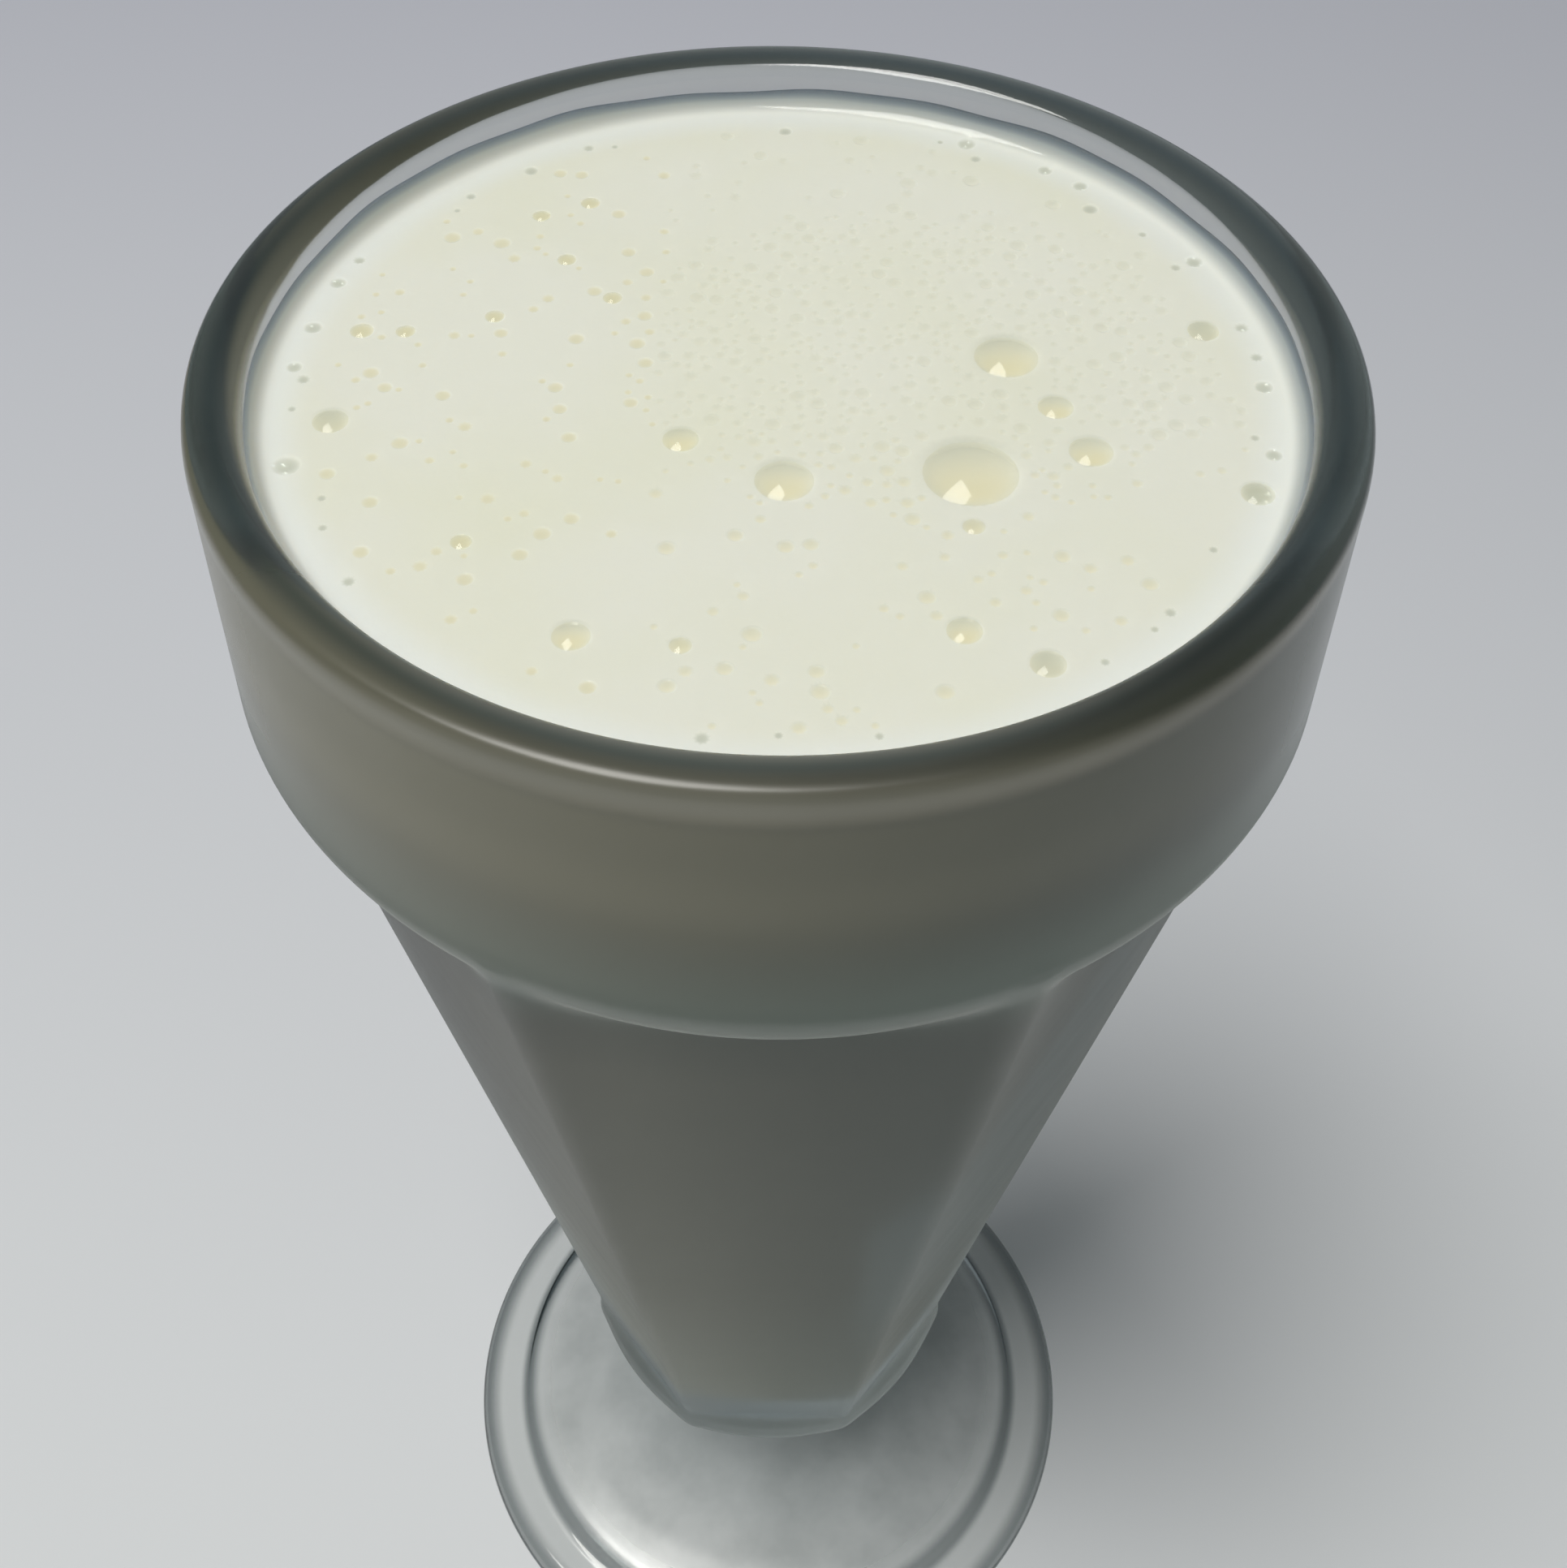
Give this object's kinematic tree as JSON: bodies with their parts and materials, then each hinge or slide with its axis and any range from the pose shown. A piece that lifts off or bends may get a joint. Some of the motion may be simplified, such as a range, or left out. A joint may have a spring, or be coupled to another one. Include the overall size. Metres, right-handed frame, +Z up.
{
  "type": "glass of lassi",
  "caption": "Heavy footed glass with flat panels and a plain band, filled almost to the rim with pale, frothy yogurt drink.",
  "frame": {"origin": "centre of the glass's foot, on the surface that it stands on", "axes": "+Z up along the glass's axis, -Y towards the side that the picture shows, +X to its right"},
  "size_m": [0.0862, 0.0862, 0.185],
  "materials": {
    "glass": "clear, smooth",
    "lassi": "smooth, wet, opaque"
  },
  "bodies": {
    "root": {"glass": "glass", "lassi": "lassi"}
  },
  "joints": []
}
